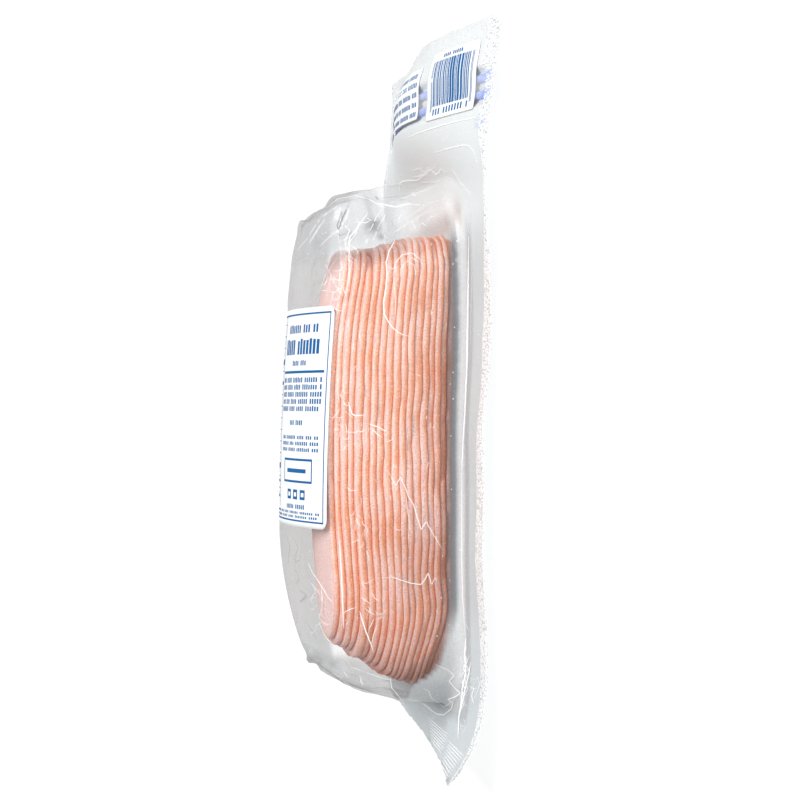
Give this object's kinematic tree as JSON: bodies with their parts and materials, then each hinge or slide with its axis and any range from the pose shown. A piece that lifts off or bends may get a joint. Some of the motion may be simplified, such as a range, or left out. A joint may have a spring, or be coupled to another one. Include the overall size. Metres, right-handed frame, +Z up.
{
  "type": "pack of sliced smoked ham",
  "caption": "Clear vacuum-formed pocket pack of stacked smoked ham slices on a white front web, with a resealable zip header and plain labels.",
  "frame": {"origin": "middle of the pack's outline on the plane that it rests on, under the flat of the front web", "axes": "+Z up out of the formed pocket's back; +Y along the pack towards the zip header; +X across it, towards the long side that the picture shows"},
  "size_m": [0.17, 0.2498, 0.0607],
  "materials": {
    "clear_film": "clear vacuum-formed film, glossy, creased",
    "white_web": "white backing film with a knurled heat-sealed rim",
    "zip": "pale blue extruded polyethylene",
    "label": "smooth white label with plain blue bars and rules",
    "ham": "moist cured pink meat with an orange-tan smoked edge"
  },
  "bodies": {
    "root": {"lid_web": "white_web", "formed_web": "clear_film", "zip_track_upper": "zip", "zip_track_lower": "zip", "back_label": "label", "barcode_label": "label", "text_label": "label"}
  },
  "joints": []
}
